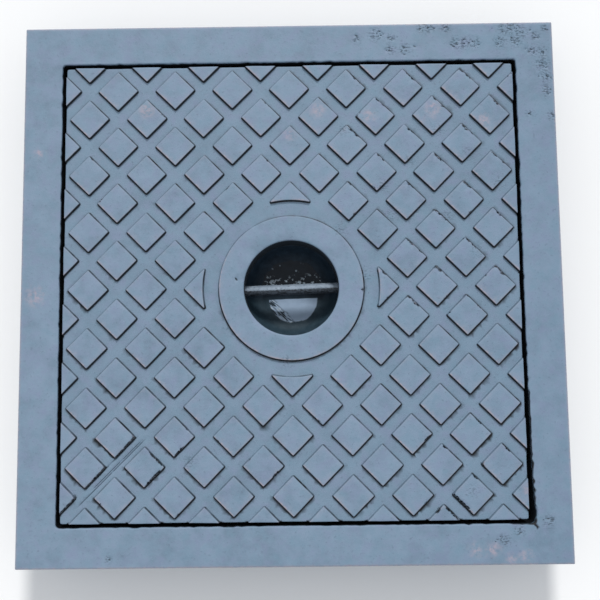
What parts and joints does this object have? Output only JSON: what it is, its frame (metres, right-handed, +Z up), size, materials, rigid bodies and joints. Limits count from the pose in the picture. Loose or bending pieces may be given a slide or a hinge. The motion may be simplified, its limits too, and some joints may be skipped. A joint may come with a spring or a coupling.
{
  "type": "square access cover and frame",
  "caption": "Square cast-iron manhole cover with a studded tread and a round lifting bowl crossed by a bar, in a flanged frame.",
  "frame": {"origin": "centre of the frame's bedding face, on the ground", "axes": "+Z up, out of the ground; +X along the lifting bar to its right end, +Y to the back edge"},
  "size_m": [0.6, 0.6, 0.075],
  "materials": {
    "painted_cast_iron": "matt blue-grey paint over sand-cast iron",
    "dark_painted_steel": "dark, dirty paint, wet at the bottom",
    "black_rubber": "matt",
    "worn_steel": "weathered, specked with dirt",
    "zinc_steel": "dull zinc plating"
  },
  "bodies": {
    "frame": {"frame": "painted_cast_iron", "seat_gasket": "black_rubber"},
    "cover": {"cover_plate": "painted_cast_iron", "lifting_bowl": "dark_painted_steel", "bowl_gasket": "black_rubber", "bowl_screw_1": "zinc_steel", "bowl_screw_2": "zinc_steel", "bowl_screw_3": "zinc_steel", "bowl_screw_4": "zinc_steel", "spring_washer_1": "zinc_steel", "spring_washer_2": "zinc_steel", "spring_washer_3": "zinc_steel", "spring_washer_4": "zinc_steel"},
    "bar": {"lifting_bar": "worn_steel", "bar_washer_left": "zinc_steel", "bar_washer_right": "zinc_steel", "split_pin_left": "zinc_steel", "split_pin_right": "zinc_steel"}
  },
  "joints": [
    {"name": "cover_lift", "type": "slide", "parent": "frame", "child": "cover", "axis": [0, 0, 1], "range_m": [0, 0.15]},
    {"name": "bar_spin", "type": "hinge", "parent": "cover", "child": "bar", "pos_m": [0, 0, 0.047], "axis": [0.9996, 0.0279, 0], "continuous": true}
  ]
}
